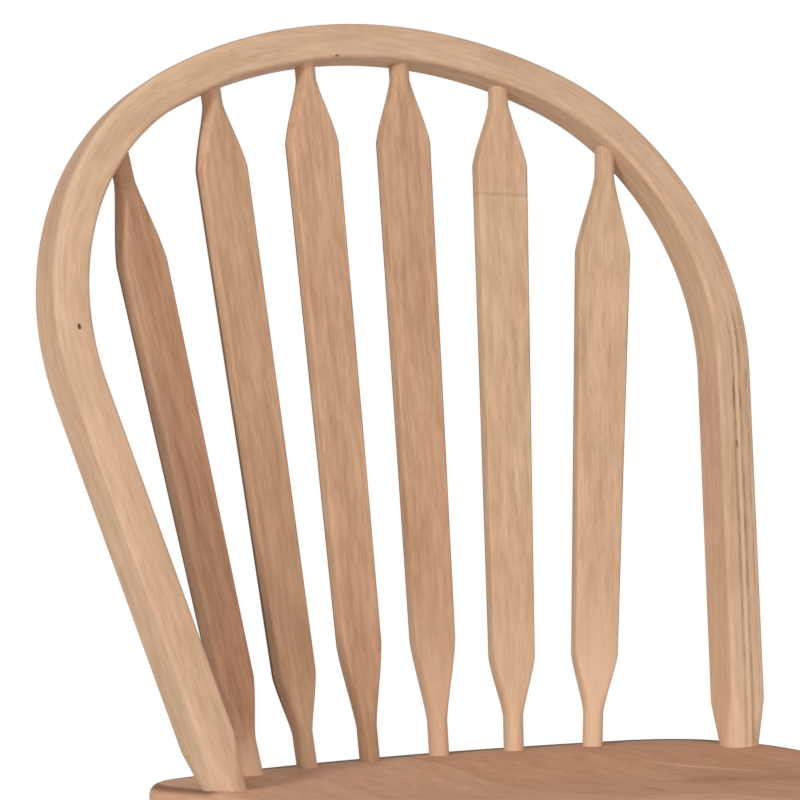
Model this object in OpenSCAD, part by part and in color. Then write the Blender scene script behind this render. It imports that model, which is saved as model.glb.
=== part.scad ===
// Bow-back side chair with six arrow spindles, a saddled seat of glued boards,
// four plain turned legs and an H of stretchers. The front faces -Y.

/* [Seat] */
// Height of the seat's flat rear deck above the floor
seat_height = 450; // [400:5:500]
// Thickness of the seat boards
seat_thickness = 36; // [34:1:44]
// Width of the seat from side to side
seat_width = 408; // [396:2:450]
// Depth of the seat from its front edge to its rear edge
seat_depth = 420; // [400:2:450]
// Radius of the seat's curved rear edge
rear_edge_radius = 560; // [480:10:800]
// Radius of the seat's curved front edge
front_edge_radius = 620; // [500:10:900]
// Corner radius at the rear of the seat
rear_corner_radius = 55; // [40:1:70]
// Corner radius at the front of the seat
front_corner_radius = 75; // [50:1:90]
// Rounding of the seat's upper edge
top_rounding = 7; // [4:0.5:11]
// Rounding of the seat's lower edge
bottom_rounding = 10; // [4:0.5:13]
// Depth of the saddle below the deck
saddle_depth = 12; // [6:0.5:13]
// Length over which the saddle sinks from the deck to its floor
saddle_run = 110; // [80:5:140]
// Share of the saddle's depth that is lost at the sides of the seat
saddle_side_share = 0.4; // [0.2:0.05:0.8]
// Share of the saddle's depth that is lost on the ridge at the front
ridge_share = 0.65; // [0:0.05:0.9]
// Half width of the front ridge
ridge_half_width = 48; // [30:2:70]
// Length of the flat deck in front of the spindles
deck_front = 14; // [12:1:30]
// Distance from the seat's rear edge to where the front ridge begins
ridge_start = 230; // [200:5:260]
// Length over which the front ridge rises
ridge_run = 130; // [100:5:150]

/* [Bow] */
// Width of the bow's straight legs in the plane of the bow
bow_width = 25; // [22:0.5:30]
// Thickness of the bow's straight legs from front to back
bow_thickness = 25.5; // [23:0.5:32]
// Width of the bow at the middle of its crown
crown_width = 22; // [20:0.5:28]
// Thickness of the bow at the middle of its crown
crown_thickness = 20; // [19:0.5:28]
// Rounding of the bow's long edges
bow_rounding = 3; // [2:0.5:7]
// Backward lean of the bow
bow_recline = 16.2; // [10:0.2:22]
// Outward lean of the bow's straight legs
bow_splay = 11.3; // [6:0.1:14]
// Length of each straight leg above the seat
bow_leg_length = 243; // [200:1:280]
// Centre-line radius of the two shoulders
shoulder_radius = 170; // [150:1:190]
// Centre-line radius of the crown
crown_radius = 334; // [320:1:420]
// Distance from the seat's side to the centre of a bow foot
foot_inset = 16.5; // [16:0.5:30]
// Distance from the seat's rear edge forward to the bow's feet
foot_setback = 119; // [100:1:130]
// Diameter of the bow's round foot tenons
foot_tenon_d = 22; // [18:0.5:24]
// Depth of a foot tenon in the seat
foot_tenon_depth = 24; // [18:1:25]
// Diameter of the foot where it stands on the deck
foot_shoulder_d = 24; // [23:0.5:25]
// Height of the taper between the round foot and the square stock
foot_taper = 28; // [20:1:45]

/* [Spindles] */
// Diameter of the spindles' round necks and tenons
neck_d = 12.5; // [10:0.5:14]
// Width of the paddle at its upper shoulder
paddle_top_width = 35.5; // [30:0.5:44]
// Width of the paddle at its lower shoulder
paddle_bottom_width = 29.5; // [26:0.5:40]
// Thickness of the paddle
paddle_thickness = 9.5; // [7:0.5:12]
// Share of its socket's angle through which a paddle is turned to face the sitter
paddle_turn_share = 0.6; // [0:0.05:1]
// Radius of the arc of spindle sockets on the seat
socket_arc_radius = 330; // [300:5:450]
// Angle between neighbouring sockets on that arc
socket_pitch = 8.9; // [7:0.1:9.5]
// Distance from the seat's rear edge to the middle of the socket arc
socket_setback = 26.5; // [20:0.5:34]
// Distance of the inner spindles' tops from the centre line
inner_top_x = 35; // [30:0.5:42]
// Distance of the middle spindles' tops from the centre line
middle_top_x = 107; // [98:0.5:112]
// Distance of the outer spindles' tops from the centre line
outer_top_x = 181; // [172:0.5:186]
// Length of the round neck above the seat
lower_neck = 21.5; // [15:0.5:40]
// Length over which the lower shoulder of the two inner spindles narrows
inner_lower_shoulder = 50; // [30:1:60]
// Length over which the lower shoulder of the other spindles narrows
lower_shoulder = 36; // [30:1:60]
// Length over which the upper shoulder of the two outer spindles narrows
outer_upper_shoulder = 49; // [30:1:60]
// Length over which the upper shoulder of the other spindles narrows
upper_shoulder = 39; // [30:1:60]
// Length of the round neck just below the bow on the two outer spindles
outer_upper_neck = 15; // [3:1:20]
// Length of the round neck just below the bow on the other spindles
upper_neck = 9; // [3:1:15]
// Depth of a spindle's tenon in the seat
seat_tenon_depth = 17; // [12:1:20]
// How far a spindle's tenon passes the middle of the bow
bow_tenon_past = 3; // [1:0.5:5]

/* [Legs] */
// Diameter of a leg's tenon and of its top
leg_tenon_d = 25; // [22:0.5:28]
// Depth of a leg's tenon in the seat
leg_tenon_depth = 19; // [15:1:20]
// Largest diameter of a leg
leg_swell_d = 36; // [32:0.5:42]
// Diameter of a leg at the floor
leg_foot_d = 26; // [24:0.5:32]
// Distance of the front leg sockets from the centre line
front_leg_x = 150; // [135:1:160]
// Distance from the seat's front edge to the front leg sockets
front_leg_inset = 70; // [60:1:90]
// Distance of the rear leg sockets from the centre line
rear_leg_x = 135; // [128:1:145]
// Distance from the seat's rear edge to the rear leg sockets
rear_leg_inset = 82; // [76:1:95]
// Outward lean of the front legs
front_splay = 7; // [3:0.5:10]
// Forward lean of the front legs
front_rake = 4.5; // [2:0.5:7]
// Outward lean of the rear legs
rear_splay = 6; // [3:0.5:10]
// Backward lean of the rear legs
rear_rake = 11; // [6:0.5:14]

/* [Stretchers] */
// Height of the stretchers above the floor
stretcher_height = 168; // [120:2:230]
// Diameter of a side stretcher's ends
side_end_d = 15; // [13:0.5:17]
// Largest diameter of a side stretcher
side_swell_d = 25; // [22:0.5:30]
// Diameter of the cross stretcher's ends
cross_end_d = 13; // [11:0.5:15]
// Largest diameter of the cross stretcher
cross_swell_d = 24; // [20:0.5:28]
// How far a side stretcher's tenon passes the middle of a leg
leg_joint_past = 3; // [1:0.5:6]
// How far the cross stretcher's tenon passes the middle of a side stretcher
cross_joint_past = 2; // [0:0.5:4]

/* [Hardware] */
// Diameter of the nylon glides
glide_d = 22; // [18:0.5:24]
// Height of the nylon glides
glide_height = 4; // [3:0.5:8]
// Diameter of a glide's nail
glide_nail_d = 2.4; // [2:0.1:3]
// Length of a glide's nail inside the leg
glide_nail_length = 14; // [10:1:20]
// Diameter of the brads that pin the spindles in the bow
brad_d = 1.4; // [1.2:0.1:2]
// Length of those brads
brad_length = 16; // [14:0.5:17]
// Depth to which the brads are set below the wood
brad_set = 0.5; // [0.2:0.1:1]
// Shank diameter of the screws under the bow's feet
screw_d = 4; // [3.5:0.1:5]
// Head diameter of those screws
screw_head_d = 8; // [7:0.2:9]
// Length of those screws under the head
screw_length = 26; // [20:1:30]

/* [Fits] */
// Radial room for glue between a tenon and its socket
glue_gap = 0.1; // [0.05:0.05:0.3]
// Room for glue beyond a tenon's end
end_gap = 0.4; // [0.2:0.1:0.6]

/* [Hidden] */
board_count = 4;

$fn = 64;
far = 2000;
overlap = 1;

wood_pale = [0.83, 0.69, 0.53];
wood_tan = [0.78, 0.62, 0.47];
wood_pink = [0.72, 0.53, 0.41];
steel_grey = [0.62, 0.62, 0.60];
nylon_white = [0.85, 0.84, 0.80];

half_seat = seat_width / 2;
rear_y = foot_setback;
front_y = rear_y - seat_depth;
underside = -seat_thickness;
floor_z = -seat_height;

// The bow's plane: x runs along it sideways, v up along it, and n forward out of it
lift = [0, sin(bow_recline), cos(bow_recline)];
out = [0, -cos(bow_recline), sin(bow_recline)];
foot_x = half_seat - foot_inset;
leg_end = [foot_x + bow_leg_length * sin(bow_splay), bow_leg_length * cos(bow_splay)];
shoulder_centre = leg_end + shoulder_radius * [-cos(bow_splay), sin(bow_splay)];
crown_half_angle = asin(shoulder_centre[0] / (crown_radius - shoulder_radius));
crown_centre = [0, shoulder_centre[1] - (crown_radius - shoulder_radius) * cos(crown_half_angle)];
crown_top = crown_centre[1] + crown_radius;

// The part's own origin lies on the floor below the middle of its box
bow_rearmost = crown_top * sin(bow_recline) + (crown_width / 2 - bow_rounding) * sin(bow_recline)
    + (crown_thickness / 2 - bow_rounding) * cos(bow_recline) + bow_rounding;
rear_foot_y = rear_y - rear_leg_inset + (seat_height - seat_thickness) * tan(rear_rake);
rearmost = max(bow_rearmost, rear_y, rear_foot_y + leg_foot_d / 2 / cos(rear_rake));
front_foot_y = front_y + front_leg_inset - (seat_height - seat_thickness) * tan(front_rake);
frontmost = min(front_y, front_foot_y - leg_foot_d / 2 / cos(front_rake));
middle_y = (rearmost + frontmost) / 2;

// General helpers
function unit(v) = v / norm(v);
function ease(t) = t <= 0 ? 0 : t >= 1 ? 1 : t * t * (3 - 2 * t);
function steps_before(a, b, n) = [for (i = [0:n - 1]) a + (b - a) * i / n];
function steps_between(a, b, n) = concat(steps_before(a, b, n), [b]);
function arc(c, r, a, b, n) = [for (t = steps_before(a, b, n)) c + r * [cos(t), sin(t)]];
function on_bow(p) = [p[0], 0, 0] + p[1] * lift;
function flip(points) = [for (k = [len(points) - 1:-1:0]) [-points[k][0], points[k][1]]];

// Turns +Z onto a direction and keeps the local X level
module along(start, direction) {
    d = unit(direction);
    translate(start) rotate([-asin(d[1]), atan2(d[0], d[2]), 0]) children();
}

// A piece turned between centres, from points of height and diameter
module turned(points) {
    last = len(points) - 1;
    rotate_extrude()
        polygon(concat([[0, points[0][0]]], [for (p = points) [p[1] / 2, p[0]]], [[0, points[last][0]]]));
}

// Seat: outline, saddle and blank
rear_centre_y = rear_y - rear_edge_radius;
front_centre_y = front_y + front_edge_radius;
function corner_angle(edge, corner) = asin((half_seat - corner) / (edge - corner));
rear_turn = corner_angle(rear_edge_radius, rear_corner_radius);
front_turn = corner_angle(front_edge_radius, front_corner_radius);
rear_corner_y = rear_centre_y + (rear_edge_radius - rear_corner_radius) * cos(rear_turn);
front_corner_y = front_centre_y - (front_edge_radius - front_corner_radius) * cos(front_turn);

function seat_outline(inset) =
    let (rx = half_seat - rear_corner_radius, fx = half_seat - front_corner_radius, x = half_seat - inset,
         rr = rear_corner_radius - inset, fr = front_corner_radius - inset)
    concat(
        steps_before([x, front_corner_y], [x, rear_corner_y], 6),
        arc([rx, rear_corner_y], rr, 0, 90 - rear_turn, 6),
        arc([0, rear_centre_y], rear_edge_radius - inset, 90 - rear_turn, 90 + rear_turn, 12),
        arc([-rx, rear_corner_y], rr, 90 + rear_turn, 180, 6),
        steps_before([-x, rear_corner_y], [-x, front_corner_y], 6),
        arc([-fx, front_corner_y], fr, 180, 270 - front_turn, 6),
        arc([0, front_centre_y], front_edge_radius - inset, 270 - front_turn, 270 + front_turn, 12),
        arc([fx, front_corner_y], fr, 270 + front_turn, 360, 6));

socket_arc_y = rear_y - socket_setback - socket_arc_radius;
middle_seat_y = (rear_y + front_y) / 2;

// Height of the seat's top, 0 on the deck and lower in the saddle
function saddle_z(x, y) =
    let (run = socket_arc_radius - deck_front - norm([x, y - socket_arc_y]),
         side = pow(x / half_seat, 2) * saddle_side_share,
         ridge = ridge_share * ease((rear_y - ridge_start - y) / ridge_run)
             * exp(-pow(x / ridge_half_width, 2)))
    -saddle_depth * ease(run / saddle_run) * (1 - side) * (1 - ridge);

function ring(inset, drop) =
    [for (p = seat_outline(inset)) [p[0], p[1], saddle_z(p[0], p[1]) - drop]];
function floor_ring(inset, rise) = [for (p = seat_outline(inset)) [p[0], p[1], underside + rise]];
function inner_ring(share) =
    [for (p = seat_outline(top_rounding))
        let (x = p[0] * share, y = middle_seat_y + (p[1] - middle_seat_y) * share)
        [x, y, saddle_z(x, y)]];

module seat_blank() {
    steps = 3;
    bottom = [for (i = [0:steps]) let (a = 90 * i / steps)
        floor_ring(bottom_rounding * (1 - sin(a)), bottom_rounding * (1 - cos(a)))];
    top = [for (i = [0:steps]) let (a = 90 * i / steps)
        ring(top_rounding * (1 - cos(a)), top_rounding * (1 - sin(a)))];
    rings = concat(bottom, top, [for (s = [0.92, 0.83, 0.72, 0.6, 0.46, 0.3, 0.15]) inner_ring(s)]);
    n = len(rings[0]);
    m = len(rings);
    points = concat([for (r = rings) each r],
        [[0, middle_seat_y, saddle_z(0, middle_seat_y)], [0, middle_seat_y, underside]]);
    walls = [for (j = [0:m - 2], i = [0:n - 1]) let (k = (i + 1) % n, a = j * n, b = (j + 1) * n)
        each [[a + i, b + i, b + k], [a + i, b + k, a + k]]];
    cap = [for (i = [0:n - 1]) [(m - 1) * n + i, m * n, (m - 1) * n + (i + 1) % n]];
    base = [for (i = [0:n - 1]) [i, (i + 1) % n, m * n + 1]];
    polyhedron(points, concat(walls, cap, base), convexity = 6);
}

// Spindles: where each one stands and where it meets the bow
tops_x = [outer_top_x, middle_top_x, inner_top_x];
function spindle_side(i) = i <= 3 ? -1 : 1;
function spindle_step(i) = i <= 3 ? i - 1 : 6 - i;
function socket_angle(i) = socket_pitch * (2.5 - spindle_step(i));
function spindle_foot(i) = [spindle_side(i) * socket_arc_radius * sin(socket_angle(i)),
                            socket_arc_y + socket_arc_radius * cos(socket_angle(i)), 0];
function bow_v(x) = x <= crown_radius * sin(crown_half_angle)
    ? crown_centre[1] + sqrt(pow(crown_radius, 2) - x * x)
    : shoulder_centre[1] + sqrt(pow(shoulder_radius, 2) - pow(x - shoulder_centre[0], 2));
function spindle_top(i) = let (x = tops_x[spindle_step(i)]) on_bow([spindle_side(i) * x, bow_v(x)]);
function spindle_axis(i) = unit(spindle_top(i) - spindle_foot(i));
// The bow's heading where a spindle meets it, and the stock's width and thickness at a heading
function top_heading(i) =
    let (x = tops_x[spindle_step(i)], v = bow_v(x),
         c = x <= crown_radius * sin(crown_half_angle) ? crown_centre : shoulder_centre)
    atan2(v - c[1], x - c[0]);
function crown_share(heading) = ease((min(heading, 180 - heading) + bow_splay) / (90 + bow_splay));
function stock_width(heading) = bow_width + (crown_width - bow_width) * crown_share(heading);
function stock_thickness(heading) =
    bow_thickness + (crown_thickness - bow_thickness) * crown_share(heading);
// Direction out of the bow's curve at a spindle's top, and the wood that the spindle crosses to its middle
function bow_normal(i) =
    [spindle_side(i) * cos(top_heading(i)), 0, 0] + sin(top_heading(i)) * lift;
function bow_cover(i) = stock_width(top_heading(i)) / 2 / (spindle_axis(i) * bow_normal(i));

// A shoulder's flank is nearly straight, with a slightly soft start and end
flank_softness = 0.35;
function flank(t) = t + flank_softness * (ease(t) - t);
module spindle_blank(i) {
    outer = spindle_step(i) == 0;
    inner = spindle_step(i) == 2;
    whole = norm(spindle_top(i) - spindle_foot(i));
    under = whole - bow_cover(i) - (outer ? outer_upper_neck : upper_neck);
    low_run = inner ? inner_lower_shoulder : lower_shoulder;
    high_run = outer ? outer_upper_shoulder : upper_shoulder;
    low = lower_neck + low_run;
    high = under - high_run;
    steps = 8;
    widths = concat(
        [[-seat_tenon_depth, neck_d]],
        [for (k = [0:steps]) let (t = k / steps)
            [lower_neck + t * low_run, neck_d + (paddle_bottom_width - neck_d) * flank(t)]],
        [for (k = [0:steps]) let (t = 1 - k / steps)
            [under - t * high_run, neck_d + (paddle_top_width - neck_d) * flank(t)]],
        [[whole + bow_tenon_past, neck_d]]);
    clear = neck_d / 2 + overlap;
    flat = paddle_thickness / 2;
    side = [[clear, -seat_tenon_depth - overlap], [clear, lower_neck], [flat, low],
            [flat, high], [clear, under], [clear, whole + bow_tenon_past + overlap]];
    intersection() {
        turned(widths);
        rotate([90, 0, 90])
            linear_extrude(height = 2 * paddle_top_width, center = true)
                polygon(concat(side, flip(side)));
    }
}

module at_spindle(i) along(spindle_foot(i), spindle_axis(i)) children();
function paddle_turn(i) = -spindle_side(i) * paddle_turn_share * socket_angle(i);
module brad_line(i, from, length, d)
    along(spindle_top(i) - out * from, out) cylinder(d = d, h = length, $fn = 24);
function brad_start(i) = stock_thickness(top_heading(i)) / 2 - brad_set;

module spindle(i) {
    color(i > 4 ? wood_pale : i > 3 ? wood_tan : wood_pink)
        difference() {
            at_spindle(i) rotate(paddle_turn(i)) spindle_blank(i);
            brad_line(i, brad_start(i), brad_length + glue_gap, brad_d + 2 * glue_gap);
        }
}

module spindle_brads() {
    color(steel_grey)
        for (i = [1:6]) brad_line(i, brad_start(i), brad_length, brad_d);
}

// Bow: a square stock with rounded edges, bent in its own plane, with its feet worked round
foot_line = [sin(bow_splay), cos(bow_splay)];
function foot_axis(side) = unit([side * foot_line[0], 0, 0] + foot_line[1] * lift);
function bow_foot(side) = [side * foot_x, 0, 0];

// Headings turn clockwise from straight up; these give the way along and the way outwards
function along_bow(heading) = [sin(heading), cos(heading)];
function outwards(heading) = [-cos(heading), sin(heading)];
crown_start = 90 - crown_half_angle;
function bent_point(heading) =
    heading < crown_start ? [-shoulder_centre[0], shoulder_centre[1]] + shoulder_radius * outwards(heading)
    : heading <= 180 - crown_start ? crown_centre + crown_radius * outwards(heading)
    : shoulder_centre + shoulder_radius * outwards(heading);
// Stock section at a place: round where square is 0, rounded square where it is 1
function stock_ring(place, heading, square) =
    let (round_r = foot_shoulder_d / 2,
         r = round_r + (bow_rounding - round_r) * square,
         w = round_r + (stock_width(heading) / 2 - round_r) * square - r,
         t = round_r + (stock_thickness(heading) / 2 - round_r) * square - r,
         n = 4)
    [for (q = [[w, t, 0], [-w, t, 90], [-w, -t, 180], [w, -t, 270]], k = [0:n])
        let (a = q[2] + 90 * k / n,
             flat = place + outwards(heading) * (q[0] + r * cos(a)))
        [flat[0], flat[1], q[1] + r * sin(a)]];

module bow_stock() {
    below = foot_shoulder_d / 2;
    heights = concat([-below], steps_between(0, foot_taper, 5));
    leg_ring_count = len(heights) - 1;
    left = [for (s = heights)
        stock_ring([-foot_x, 0] + along_bow(-bow_splay) * s, -bow_splay, max(0, s / foot_taper))];
    right = [for (i = [leg_ring_count:-1:0]) let (s = heights[i], heading = 180 + bow_splay)
        stock_ring([foot_x, 0] - along_bow(heading) * s, heading, max(0, s / foot_taper))];
    bends = concat(steps_before(-bow_splay, crown_start, 16),
                   steps_before(crown_start, 180 - crown_start, 12),
                   steps_between(180 - crown_start, 180 + bow_splay, 16));
    rings = concat(left, [for (h = bends) stock_ring(bent_point(h), h, 1)], right);
    n = len(rings[0]);
    m = len(rings);
    walls = [for (j = [0:m - 2], i = [0:n - 1]) let (k = (i + 1) % n, a = j * n, b = (j + 1) * n)
        each [[a + i, b + i, b + k], [a + i, b + k, a + k]]];
    ends = [[for (i = [0:n - 1]) i], [for (i = [n - 1:-1:0]) (m - 1) * n + i]];
    polyhedron([for (r = rings) each r], concat(walls, ends), convexity = 6);
}

module bow_blank() {
    difference() {
        rotate([90 - bow_recline, 0, 0]) bow_stock();
        translate([-far / 2, -far / 2, -far]) cube([far, far, far]);
    }
    for (side = [-1, 1])
        along(bow_foot(side) - foot_axis(side) * foot_tenon_depth, foot_axis(side))
            cylinder(d = foot_tenon_d, h = foot_tenon_depth + foot_taper / 3);
}

module spindle_bow_socket(i) {
    whole = norm(spindle_top(i) - spindle_foot(i));
    at_spindle(i) translate([0, 0, whole - bow_width])
        cylinder(d = neck_d + 2 * glue_gap, h = bow_width + bow_tenon_past + end_gap);
}

module bow() {
    color(wood_pale)
        difference() {
            bow_blank();
            for (i = [1:6]) spindle_bow_socket(i);
            for (i = [1:6])
                brad_line(i, bow_thickness, bow_thickness - brad_start(i) + brad_length + glue_gap,
                          brad_d + 2 * glue_gap);
            for (side = [-1, 1]) screw_bore(side);
        }
}

// Screws driven up from under the seat into the ends of the bow's feet, their heads sunk in the seat
screw_head_depth = 3;
head_room = 0.5;
function screw_seat(side) =
    bow_foot(side) + foot_axis(side) * (underside / foot_axis(side)[2] + screw_head_depth + head_room
        + screw_head_d / 2 * tan(acos(foot_axis(side)[2])));
module screw_bore(side)
    along(screw_seat(side), foot_axis(side))
        cylinder(d = screw_d + 2 * glue_gap, h = screw_length + end_gap, $fn = 32);
module screw_recess(side)
    along(screw_seat(side) - foot_axis(side) * seat_thickness, foot_axis(side))
        cylinder(d = screw_head_d + 2 * glue_gap, h = seat_thickness, $fn = 48);
module bow_screw(side) {
    slot_width = screw_head_d / 8;
    along(screw_seat(side), foot_axis(side))
        difference() {
            union() {
                translate([0, 0, -screw_head_depth])
                    cylinder(d = screw_head_d, h = screw_head_depth, $fn = 48);
                translate([0, 0, -overlap / 2])
                    cylinder(d = screw_d, h = screw_length + overlap / 2, $fn = 32);
            }
            for (a = [0, 90]) rotate(a)
                translate([-screw_head_d / 4, -slot_width / 2, -screw_head_depth - overlap])
                    cube([screw_head_d / 2, slot_width, screw_head_depth / 2 + overlap]);
        }
}
module bow_screws() {
    color(steel_grey)
        for (side = [-1, 1]) bow_screw(side);
}

// Legs and stretchers
leg_rise = seat_height - seat_thickness;
function leg_top(side, front) = front
    ? [side * front_leg_x, front_y + front_leg_inset, underside]
    : [side * rear_leg_x, rear_y - rear_leg_inset, underside];
function leg_slope(side, front) = front
    ? [side * tan(front_splay), -tan(front_rake), -1]
    : [side * tan(rear_splay), tan(rear_rake), -1];
function leg_foot(side, front) = leg_top(side, front) + leg_slope(side, front) * leg_rise;
function leg_at(side, front, height) =
    leg_top(side, front) + leg_slope(side, front) * (leg_rise - height);

// A leg is straight just below the seat and thickest at a share of its length
leg_straight = 14;
swell_place = 0.36;
module leg_blank(side, front) {
    whole = leg_rise * norm(leg_slope(side, front));
    steps = 8;
    swell_at = swell_place * whole;
    along(leg_top(side, front), leg_slope(side, front))
        turned(concat(
            [[-leg_tenon_depth, leg_tenon_d]],
            [for (k = [0:steps]) let (t = k / steps)
                [leg_straight + t * (swell_at - leg_straight),
                 leg_tenon_d + (leg_swell_d - leg_tenon_d) * ease(t)]],
            [for (k = [1:steps]) let (t = k / steps)
                [swell_at + t * (whole - swell_at),
                 leg_swell_d + (leg_foot_d - leg_swell_d) * (1 - cos(90 * t))]],
            [[whole + leg_foot_d, leg_foot_d]]));
}

function joint_line(side) = leg_at(side, false, stretcher_height) - leg_at(side, true, stretcher_height);
function joint_middle(side) = leg_at(side, true, stretcher_height) + joint_line(side) / 2;

// Length of a stretcher's straight end in sight beyond the leg
end_in_sight = 8;
module stretcher(start, finish, past, end_d, swell_d, room, end_room) {
    whole = norm(finish - start);
    straight = leg_swell_d / 2 + end_in_sight;
    steps = 10;
    along(start, finish - start)
        turned(concat(
            [[-past - end_room, end_d + 2 * room]],
            [for (k = [0:steps]) let (t = k / steps)
                [straight + t * (whole - 2 * straight),
                 end_d + (swell_d - end_d) * pow(sin(180 * t), 0.8) + 2 * room]],
            [[whole + past + end_room, end_d + 2 * room]]));
}
module side_stretcher_body(side, room = 0, end_room = 0)
    stretcher(leg_at(side, true, stretcher_height), leg_at(side, false, stretcher_height), leg_joint_past,
              side_end_d, side_swell_d, room, end_room);
module cross_stretcher_body(room = 0, end_room = 0)
    stretcher(joint_middle(-1), joint_middle(1), cross_joint_past, cross_end_d, cross_swell_d, room,
              end_room);

module leg_socket(side) {
    start = leg_at(side, true, stretcher_height);
    finish = leg_at(side, false, stretcher_height);
    reach = leg_joint_past + end_gap;
    for (ends = [[start, finish], [finish, start]])
        along(ends[0], ends[1] - ends[0])
            translate([0, 0, -reach])
                cylinder(d = side_end_d + 2 * glue_gap, h = reach + leg_swell_d, $fn = 48);
}

module glide_nail(side, front, room = 0)
    translate(leg_foot(side, front))
        cylinder(d = glide_nail_d + 2 * room, h = glide_height + glide_nail_length + room, $fn = 24);

module leg(side, front) {
    color(wood_tan)
        difference() {
            leg_blank(side, front);
            translate([-far / 2, -far / 2, floor_z + glide_height - far]) cube([far, far, far]);
            leg_socket(side);
            glide_nail(side, front, glue_gap);
        }
}

module glide(side, front) {
    edge = glide_height / 4;
    color(nylon_white)
        union() {
            translate(leg_foot(side, front))
                turned([[0, glide_d - 2 * edge], [edge, glide_d], [glide_height, glide_d]]);
            glide_nail(side, front);
        }
}

module side_stretcher(side) {
    color(wood_tan)
        difference() {
            side_stretcher_body(side);
            along(joint_middle(side), joint_middle(-side) - joint_middle(side))
                translate([0, 0, -cross_joint_past - end_gap])
                    cylinder(d = cross_end_d + 2 * glue_gap, h = side_swell_d, $fn = 48);
        }
}
module cross_stretcher() color(wood_tan) cross_stretcher_body();

// Seat boards, bored for everything that stands in them
module seat_sockets() {
    for (i = [1:6])
        at_spindle(i) translate([0, 0, -seat_tenon_depth - end_gap])
            cylinder(d = neck_d + 2 * glue_gap, h = seat_thickness + seat_tenon_depth, $fn = 48);
    for (side = [-1, 1]) {
        along(bow_foot(side) - foot_axis(side) * (foot_tenon_depth + end_gap), foot_axis(side))
            cylinder(d = foot_tenon_d + 2 * glue_gap, h = seat_thickness + foot_tenon_depth);
        screw_bore(side);
        screw_recess(side);
        for (front = [true, false])
            along(leg_top(side, front), -leg_slope(side, front))
                translate([0, 0, -seat_thickness])
                    cylinder(d = leg_tenon_d + 2 * glue_gap, h = seat_thickness + leg_tenon_depth + end_gap);
    }
}
board_width = seat_width / board_count;
module board_from_edge(i) {
    spare = i == 1 ? overlap : 0;
    left = -half_seat + (i - 1) * board_width - spare;
    difference() {
        intersection() {
            seat_blank();
            translate([left, front_y - overlap, underside - overlap])
                cube([board_width + spare, seat_depth + 2 * overlap, seat_thickness + 2 * overlap]);
        }
        seat_sockets();
    }
}
// The right-hand boards mirror the left-hand ones
module seat_board(i) {
    color(i % 2 == 0 ? wood_pink : wood_tan)
        if (i <= board_count / 2) board_from_edge(i);
        else mirror([1, 0, 0]) board_from_edge(board_count + 1 - i);
}

// Everything above is drawn from the deck at the bow's feet; this puts it on the floor
module placed() translate([0, -middle_y, seat_height]) children();

placed() seat_board(1);  // seat_board_1
placed() seat_board(2);  // seat_board_2
placed() seat_board(3);  // seat_board_3
placed() seat_board(4);  // seat_board_4
placed() bow();
placed() spindle(1);  // spindle_1
placed() spindle(2);  // spindle_2
placed() spindle(3);  // spindle_3
placed() spindle(4);  // spindle_4
placed() spindle(5);  // spindle_5
placed() spindle(6);  // spindle_6
placed() leg(-1, true);  // front_left_leg
placed() leg(1, true);  // front_right_leg
placed() leg(-1, false);  // rear_left_leg
placed() leg(1, false);  // rear_right_leg
placed() side_stretcher(-1);  // left_stretcher
placed() side_stretcher(1);  // right_stretcher
placed() cross_stretcher();
placed() glide(-1, true);  // front_left_glide
placed() glide(1, true);  // front_right_glide
placed() glide(-1, false);  // rear_left_glide
placed() glide(1, false);  // rear_right_glide
placed() spindle_brads();
placed() bow_screws();
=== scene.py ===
import math

import bmesh
import bpy
from mathutils import Euler, Matrix, Vector
from mathutils.kdtree import KDTree


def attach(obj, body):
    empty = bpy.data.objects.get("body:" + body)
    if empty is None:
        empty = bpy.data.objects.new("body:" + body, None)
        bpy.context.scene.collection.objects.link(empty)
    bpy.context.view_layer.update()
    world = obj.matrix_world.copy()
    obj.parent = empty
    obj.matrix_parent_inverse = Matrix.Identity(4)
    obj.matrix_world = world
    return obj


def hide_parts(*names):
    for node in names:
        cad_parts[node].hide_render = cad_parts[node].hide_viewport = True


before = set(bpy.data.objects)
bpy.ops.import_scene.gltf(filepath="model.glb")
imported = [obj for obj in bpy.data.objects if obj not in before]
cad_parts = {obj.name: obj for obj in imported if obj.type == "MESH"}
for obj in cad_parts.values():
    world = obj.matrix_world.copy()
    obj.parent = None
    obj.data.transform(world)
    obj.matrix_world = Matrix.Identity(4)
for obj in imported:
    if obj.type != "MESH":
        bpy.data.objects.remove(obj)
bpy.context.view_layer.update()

# Sizes in metres. The deck is the flat rear of the seat, where the bow and the spindles stand;
# its own origin lies midway between the bow's feet.
DECK = Vector((0, 0.080836, 0.450))
SEAT_THICK, HALF_SEAT, BOARDS = 0.036, 0.204, 4
REAR_Y, FRONT_Y = 0.119, -0.301
REAR_EDGE_R, FRONT_EDGE_R = 0.560, 0.620
REAR_CORNER_R, FRONT_CORNER_R = 0.055, 0.075
TOP_ROUND, BOTTOM_ROUND = 0.007, 0.010
SADDLE_DEEP, SADDLE_RUN = 0.012, 0.110
SADDLE_SIDE_SHARE, RIDGE_SHARE, RIDGE_HALF_WIDTH = 0.4, 0.65, 0.048
RIDGE_START, RIDGE_RUN = 0.230, 0.130
SOCKET_ARC_R, SOCKET_ARC_Y = 0.330, -0.2375
DECK_FRONT = 0.014

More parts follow.
